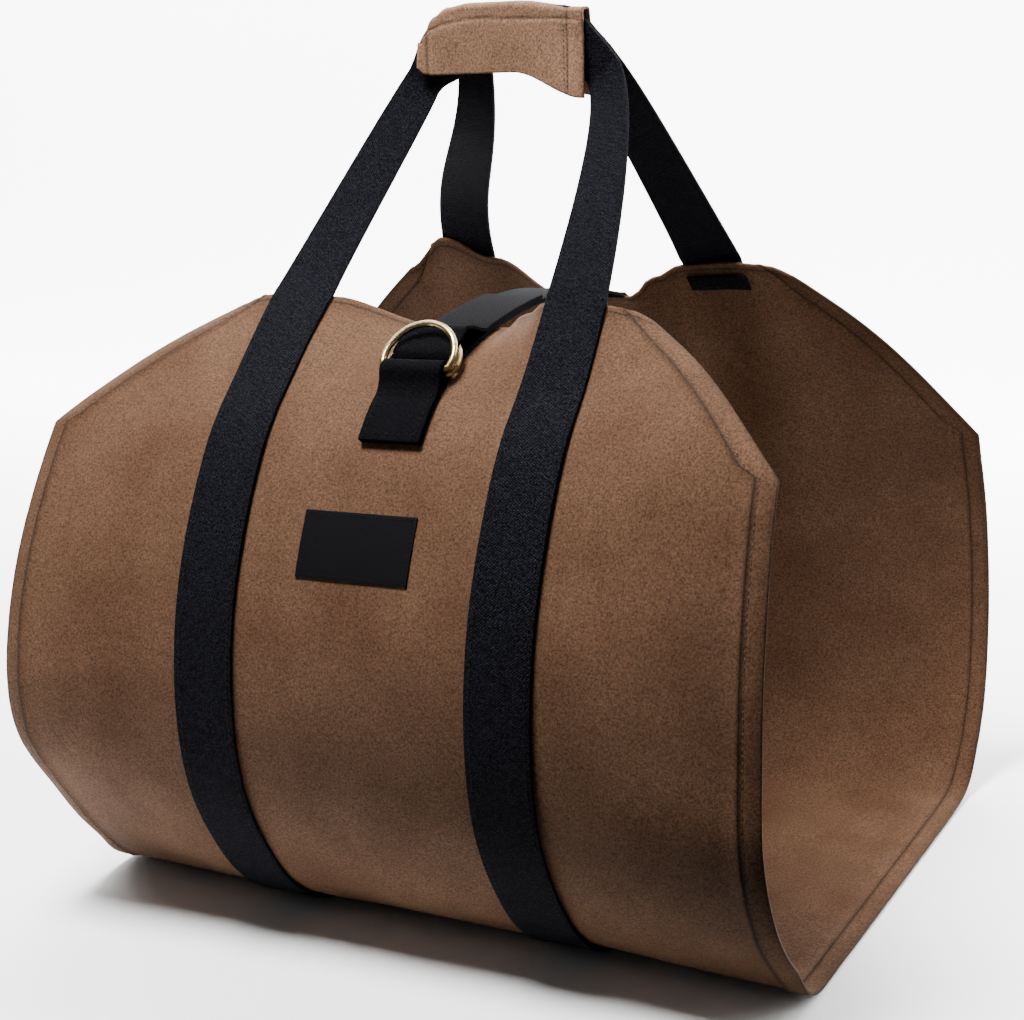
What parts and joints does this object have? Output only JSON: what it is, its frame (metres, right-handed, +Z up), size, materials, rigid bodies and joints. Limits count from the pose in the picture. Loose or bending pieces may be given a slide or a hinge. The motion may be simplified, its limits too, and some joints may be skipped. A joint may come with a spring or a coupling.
{
  "type": "canvas log carrier",
  "caption": "Open-ended canvas sling carrier for firewood, in its loaded U shape, with webbing handles joined by a cloth grip and a strap closed through rings.",
  "frame": {"origin": "on the surface the carrier stands on, at the bottom centre of its outer sizes", "axes": "+X along the logs, +Z up, -Y towards the panel with the label and rings"},
  "size_m": [0.463, 0.3984, 0.507],
  "materials": {
    "canvas": "waxed matte",
    "grip_cloth": "brushed matte",
    "webbing": "woven",
    "ring_metal": "antique",
    "label": "satin weave"
  },
  "bodies": {
    "root": {"canvas_body": "canvas", "strap_left": "webbing", "strap_right": "webbing", "handle_front": "webbing", "handle_back": "webbing", "grip_wrap": "grip_cloth", "ring_tab": "webbing", "d_ring_lower": "ring_metal", "d_ring_upper": "ring_metal", "closure_strap": "webbing", "label_patch": "label"}
  },
  "joints": []
}
